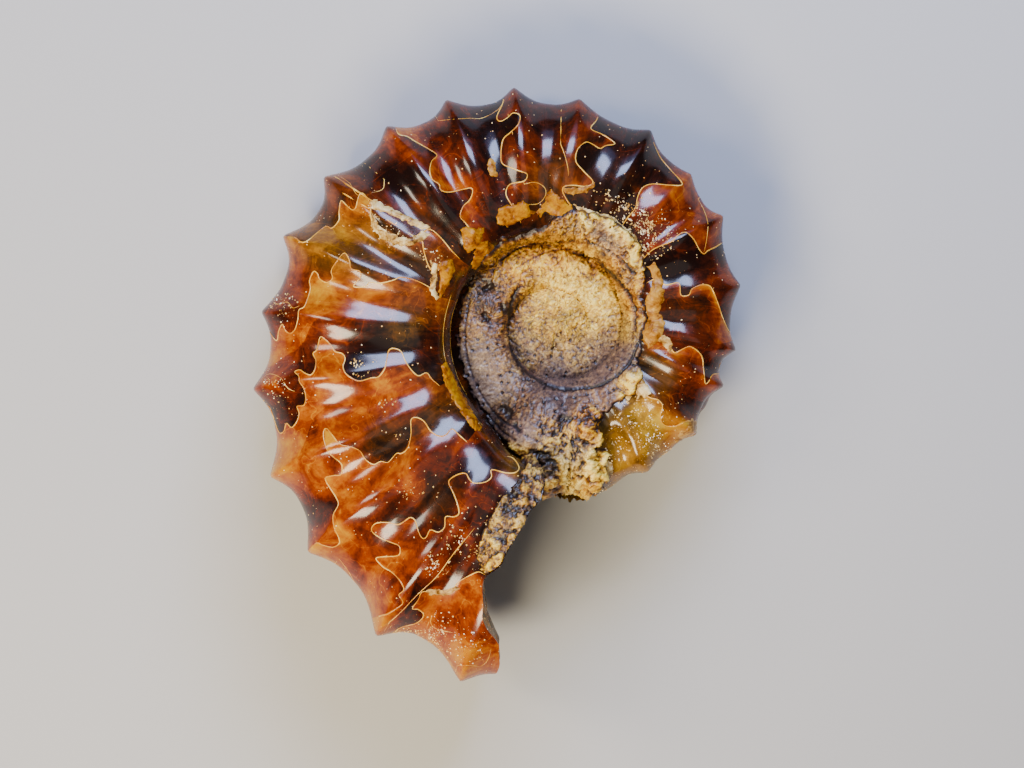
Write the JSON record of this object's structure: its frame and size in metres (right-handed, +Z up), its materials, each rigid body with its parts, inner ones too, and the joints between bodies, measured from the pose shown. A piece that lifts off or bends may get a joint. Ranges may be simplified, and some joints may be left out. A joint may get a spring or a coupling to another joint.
{
  "type": "crystallized ammonite fossil",
  "caption": "Stout, ribbed and knobbed coiled fossil shell of polished honey-brown calcite with leafy suture lines, a deep crusted umbilicus and a ragged broken end; lies on its flank.",
  "frame": {"origin": "middle of the lying fossil's box, at the level of the surface it lies on", "axes": "+Z up from the surface it lies on, close to the coil's axis; +Y away from the broken end, along the fossil's length; +X across it"},
  "size_m": [0.0484, 0.0592, 0.0249],
  "materials": {
    "calcite": "polished translucent calcite, amber to dark red-brown between cream and orange suture lines, with a dull tan mineral crust round the umbilicus"
  },
  "bodies": {
    "root": {"ammonite": "calcite"}
  },
  "joints": []
}
